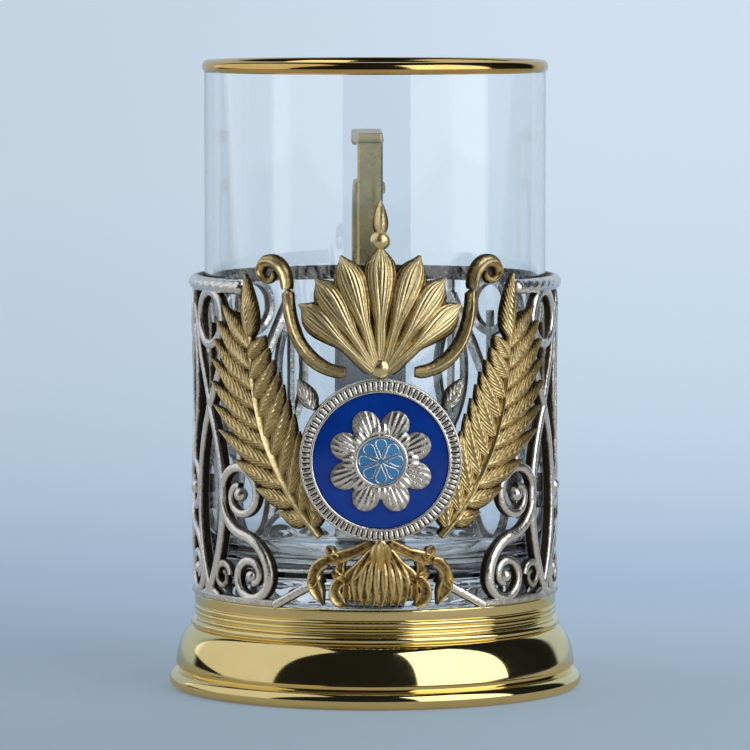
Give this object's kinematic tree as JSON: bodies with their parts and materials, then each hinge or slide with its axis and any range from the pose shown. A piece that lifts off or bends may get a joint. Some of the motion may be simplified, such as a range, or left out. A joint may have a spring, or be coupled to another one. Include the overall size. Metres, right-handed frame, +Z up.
{
  "type": "tea glass holder",
  "caption": "Footed tea glass holder with a pierced scrollwork sleeve, an enamel medallion between gilt fronds, a strap handle with a thumb rest, and its clear tea glass.",
  "frame": {"origin": "middle of the foot's underside, on the table", "axes": "+Z up along the axis of the glass, -Y towards the front with the medallion, +Y towards the handle"},
  "size_m": [0.0826, 0.1134, 0.1252],
  "materials": {
    "polished_gold": "gilded and polished to a mirror",
    "satin_gold": "gilded, satin from the file and the hammer",
    "antique_gold": "gilded relief, satin, with dark patina in the hollows",
    "antique_silver": "silver-plated cast brass with dark patina in the hollows",
    "plain_silver": "silver-plated sheet, softly brushed",
    "blue_enamel": "deep blue glossy enamel",
    "light_enamel": "light blue glossy enamel",
    "clear_glass": "clear, polished",
    "gilt_lip": "fired gilding, glossy"
  },
  "bodies": {
    "holder": {"foot_ring": "polished_gold", "base_skirt": "polished_gold", "base_collar": "polished_gold", "floor_plate": "plain_silver", "sleeve_base_band": "antique_silver", "sleeve_rim": "antique_silver", "sleeve_back_plate": "plain_silver", "sleeve_front_left": "antique_silver", "sleeve_side_left": "antique_silver", "sleeve_flank_left": "antique_silver", "sleeve_rear_left": "antique_silver", "sleeve_front_right": "antique_silver", "sleeve_side_right": "antique_silver", "sleeve_flank_right": "antique_silver", "sleeve_rear_right": "antique_silver", "palmette_braces": "antique_silver", "lower_palmette": "antique_gold", "frond_left": "antique_gold", "frond_right": "antique_gold", "silver_leaves": "antique_silver", "crest_palmette": "antique_gold", "crest_tendrils": "antique_gold", "medallion_cup": "antique_silver", "medallion_border": "antique_silver", "medallion_enamel": "blue_enamel", "rosette_petals": "antique_silver", "rosette_enamel": "light_enamel", "handle_spine": "satin_gold", "handle_loop": "satin_gold", "handle_rivets": "satin_gold", "thumb_rest": "satin_gold", "thumb_rest_post": "satin_gold"},
    "glass": {"glass_tumbler": "clear_glass", "glass_gilt_lip": "gilt_lip"}
  },
  "joints": [
    {"name": "lift_glass", "type": "slide", "parent": "holder", "child": "glass", "axis": [0, 0, 1], "range_m": [0, 0.1]}
  ]
}
